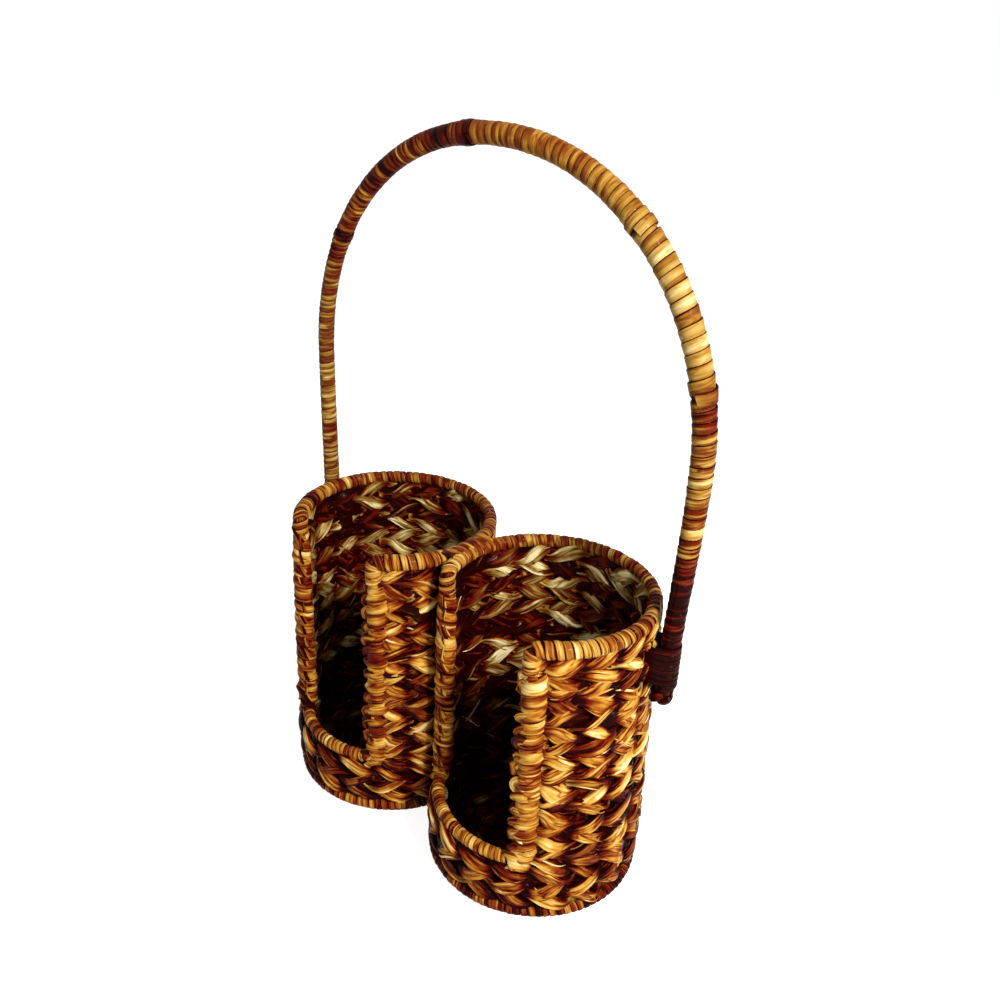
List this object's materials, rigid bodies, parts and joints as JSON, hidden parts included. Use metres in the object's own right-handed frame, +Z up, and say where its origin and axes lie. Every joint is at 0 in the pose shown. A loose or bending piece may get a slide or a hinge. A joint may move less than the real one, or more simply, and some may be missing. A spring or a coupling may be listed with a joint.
{
  "type": "wine bottle basket",
  "caption": "Woven carrier with side-by-side round bottle holders, open windows at the front and a tall wrapped arch handle.",
  "frame": {"origin": "middle of the carrier at the level that it stands on, halfway between the holders", "axes": "+Z up, windows towards -Y, +X from the left holder to the right one as seen from the windows"},
  "size_m": [0.2479, 0.1158, 0.3699],
  "materials": {
    "woven_strand": "lacquered twisted plant fibre, satin to glossy, golden to red brown",
    "wrapping_strand": "lacquered flat strips of plant fibre, glossy, golden to dark brown",
    "foot_binding": "dark lacquered plant fibre",
    "stake_wire": "plain drawn wire, darkened",
    "frame_wire": "plain drawn wire, darkened"
  },
  "bodies": {
    "root": {"left_wall": "woven_strand", "left_floor": "woven_strand", "left_window_left_edge": "woven_strand", "left_window_right_edge": "woven_strand", "left_foot_ring": "foot_binding", "left_rim_wrap": "wrapping_strand", "left_rim_wrap_front": "wrapping_strand", "left_sill_wrap": "wrapping_strand", "left_handle_tie": "wrapping_strand", "left_handle_knot": "foot_binding", "left_stakes_1": "stake_wire", "left_stakes_2": "stake_wire", "left_stakes_3": "stake_wire", "left_stakes_4": "stake_wire", "left_stakes_5": "stake_wire", "left_stakes_6": "stake_wire", "left_stakes_7": "stake_wire", "left_stakes_8": "stake_wire", "left_stakes_9": "stake_wire", "left_frame_wire": "frame_wire", "left_base_wire": "frame_wire", "left_lower_spoke": "frame_wire", "left_upper_spoke": "frame_wire", "right_wall": "woven_strand", "right_floor": "woven_strand", "right_window_left_edge": "woven_strand", "right_window_right_edge": "woven_strand", "right_foot_ring": "foot_binding", "right_rim_wrap": "wrapping_strand", "right_rim_wrap_front": "wrapping_strand", "right_sill_wrap": "wrapping_strand", "right_handle_tie": "wrapping_strand", "right_handle_knot": "foot_binding", "right_stakes_1": "stake_wire", "right_stakes_2": "stake_wire", "right_stakes_3": "stake_wire", "right_stakes_4": "stake_wire", "right_stakes_5": "stake_wire", "right_stakes_6": "stake_wire", "right_stakes_7": "stake_wire", "right_stakes_8": "stake_wire", "right_stakes_9": "stake_wire", "right_frame_wire": "frame_wire", "right_base_wire": "frame_wire", "right_lower_spoke": "frame_wire", "right_upper_spoke": "frame_wire", "rim_lashing": "wrapping_strand", "handle_rod": "frame_wire", "handle_wrap_1": "wrapping_strand", "handle_wrap_2": "wrapping_strand", "handle_wrap_3": "wrapping_strand", "handle_wrap_4": "wrapping_strand", "handle_wrap_5": "wrapping_strand"}
  },
  "joints": []
}
